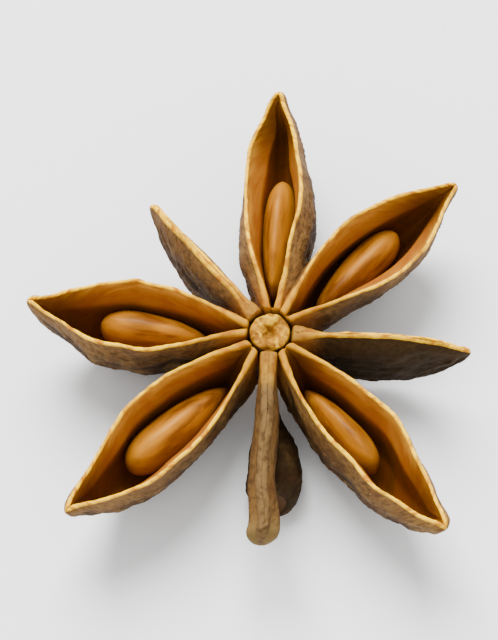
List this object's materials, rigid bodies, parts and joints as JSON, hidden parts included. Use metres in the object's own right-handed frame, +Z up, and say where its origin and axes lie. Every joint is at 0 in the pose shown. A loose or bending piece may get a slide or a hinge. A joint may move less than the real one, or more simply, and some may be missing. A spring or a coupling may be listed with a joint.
{
  "type": "star anise pod",
  "caption": "Dried star-shaped spice fruit with split boat-shaped carpels holding glossy seeds, thin shut carpels, a central column and a short stalk.",
  "frame": {"origin": "under the middle of the pod's box, on the surface it lies on", "axes": "+Z up along the fruit's own axis, seams upwards; -Y towards the thin front carpel and the stalk's end; +X to the right of it"},
  "size_m": [0.0284, 0.0304, 0.0079],
  "materials": {
    "husk": "dried woody husk, rough and wrinkled outside, satin golden brown inside the carpels",
    "seed": "smooth glossy caramel brown seed coat"
  },
  "bodies": {
    "root": {"pod": "husk", "seed_1": "seed", "seed_2": "seed", "seed_3": "seed", "seed_4": "seed", "seed_5": "seed"}
  },
  "joints": []
}
